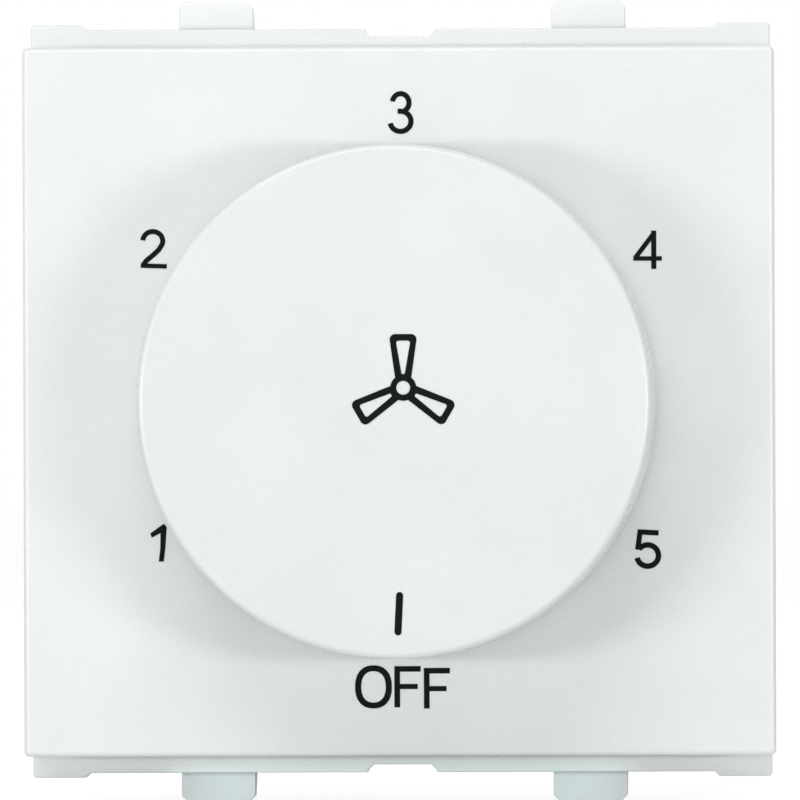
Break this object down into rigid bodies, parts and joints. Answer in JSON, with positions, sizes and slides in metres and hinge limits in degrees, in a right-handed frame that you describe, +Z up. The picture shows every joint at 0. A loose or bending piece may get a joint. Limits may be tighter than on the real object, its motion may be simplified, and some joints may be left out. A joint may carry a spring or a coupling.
{
  "type": "fan speed control switch",
  "caption": "Square white modular wall switch with a large round dial that steps a fan's speed from off upwards; snaps into a wiring frame.",
  "frame": {"origin": "centre of the module on the knob's axis, in the plane of the flange's rear face, which seats on the wiring frame", "axes": "+X to the right and +Z up as seen from the room, +Y into the wall; the dial faces -Y"},
  "size_m": [0.048, 0.0499, 0.051],
  "materials": {
    "white_plastic": "gloss",
    "housing_plastic": "satin",
    "knob_plastic": "gloss",
    "rotor_plastic": "satin",
    "switch_plastic": "satin",
    "board_laminate": "satin",
    "capacitor_case": "satin",
    "resistor_body": "matte",
    "spring_steel": "satin",
    "plated_steel": "satin",
    "contact_bronze": "satin",
    "terminal_brass": "satin"
  },
  "bodies": {
    "housing": {"front_cover": "white_plastic", "rear_housing": "housing_plastic", "detent_spring": "spring_steel", "switch_base": "switch_plastic", "switch_cover": "switch_plastic", "common_contact": "contact_bronze", "circuit_board": "board_laminate", "board_screws": "plated_steel", "large_capacitor": "capacitor_case", "small_capacitor": "capacitor_case", "bleed_resistor": "resistor_body", "surge_resistor": "resistor_body", "speed_contact_1": "contact_bronze", "speed_contact_2": "contact_bronze", "speed_contact_3": "contact_bronze", "speed_contact_4": "contact_bronze", "speed_contact_5": "contact_bronze", "terminal_plate_right": "terminal_brass", "terminal_plate_left": "terminal_brass"},
    "dial": {"knob": "knob_plastic", "knob_grip_spring": "spring_steel", "rotor_spindle": "rotor_plastic", "contact_bridge": "contact_bronze"},
    "clamp_right": {"clamp_plate_right": "plated_steel"},
    "screw_right": {"terminal_screw_right": "plated_steel"},
    "clamp_left": {"clamp_plate_left": "plated_steel"},
    "screw_left": {"terminal_screw_left": "plated_steel"}
  },
  "joints": [
    {"name": "knob_turn", "type": "hinge", "parent": "housing", "child": "dial", "pos_m": [0, 0, 0], "axis": [0, 1, 0], "continuous": true, "deforming": ["detent_spring"]},
    {"name": "clamp_slide_right", "type": "slide", "parent": "housing", "child": "clamp_right", "axis": [0, 1, 0], "range_m": [-0.002, 0]},
    {"name": "screw_turn_right", "type": "hinge", "parent": "clamp_right", "child": "screw_right", "pos_m": [0.01105, 0.02595, -0.01531], "axis": [0, 1, 0], "range_deg": [-1210, 0]},
    {"name": "clamp_slide_left", "type": "slide", "parent": "housing", "child": "clamp_left", "axis": [0, 1, 0], "range_m": [-0.002, 0]},
    {"name": "screw_turn_left", "type": "hinge", "parent": "clamp_left", "child": "screw_left", "pos_m": [-0.01105, 0.02595, -0.01531], "axis": [0, 1, 0], "range_deg": [-1210, 0]}
  ],
  "couplings": [
    {"joint": "screw_turn_right", "follows": "clamp_slide_right", "rad_per_m": 10472},
    {"joint": "screw_turn_left", "follows": "clamp_slide_left", "rad_per_m": 10472}
  ]
}
